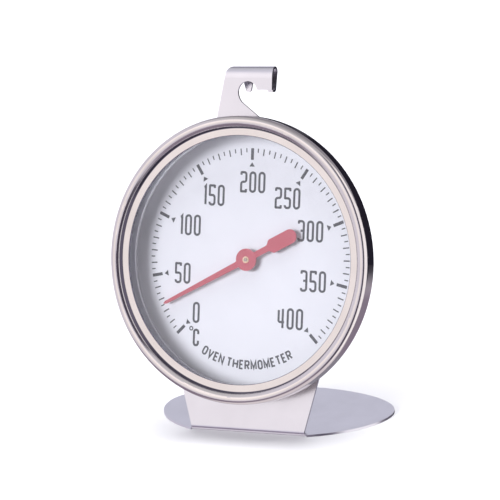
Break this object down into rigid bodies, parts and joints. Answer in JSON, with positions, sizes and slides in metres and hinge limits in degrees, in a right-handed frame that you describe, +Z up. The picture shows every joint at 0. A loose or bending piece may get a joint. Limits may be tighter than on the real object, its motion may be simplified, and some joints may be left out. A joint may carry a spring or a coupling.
{
  "type": "oven thermometer",
  "caption": "Round dial oven thermometer with a bimetal pointer behind glass, on a bent steel strip that is foot, back plate and rack hook in one.",
  "frame": {"origin": "middle of the foot's oval, on its flat underside", "axes": "+Z up, the dial faces -Y and leans back 15.5 degrees, +X to the reader's right"},
  "size_m": [0.0624, 0.0361, 0.0771],
  "materials": {
    "stand_steel": "smooth bright rolled stainless sheet",
    "case_steel": "drawn stainless sheet, satin",
    "rivet_steel": "headed steel, dull",
    "bezel_steel": "rolled and polished stainless ring",
    "spacer_aluminium": "plain mill finish",
    "lens_glass": "clear flat glass",
    "dial_white": "white lacquered aluminium with grey print",
    "bridge_steel": "plain steel strip",
    "bearing_brass": "turned brass",
    "spindle_steel": "ground steel",
    "washer_brass": "stamped brass",
    "collet_brass": "turned brass",
    "bimetal": "rolled bimetal strip, slightly tarnished",
    "pointer_red": "red lacquer on thin metal",
    "bush_brass": "turned brass, pale"
  },
  "bodies": {
    "case": {"hanger_stand": "stand_steel", "stand_rivets": "rivet_steel", "case_pan": "case_steel", "bezel_ring": "bezel_steel", "spacer_ring": "spacer_aluminium", "glass_lens": "lens_glass", "dial_plate": "dial_white", "bearing_bridge": "bridge_steel", "bridge_rivets": "rivet_steel", "front_bearing": "bearing_brass", "rear_bearing": "bearing_brass", "bimetal_coil": "bimetal", "coil_anchor": "rivet_steel"},
    "pointer_spindle": {"spindle": "spindle_steel", "front_washer": "washer_brass", "rear_washer": "washer_brass", "coil_collet": "collet_brass", "pointer": "pointer_red", "pointer_bush": "bush_brass"}
  },
  "joints": [
    {"name": "pointer_turn", "type": "hinge", "parent": "case", "child": "pointer_spindle", "pos_m": [0.00075, -0.00695, 0.03725], "axis": [0, 0.9636, -0.2672], "range_deg": [-16.9, 253.1], "stiffness_Nm_per_rad": 0.0053, "deforming": ["bimetal_coil"]}
  ]
}
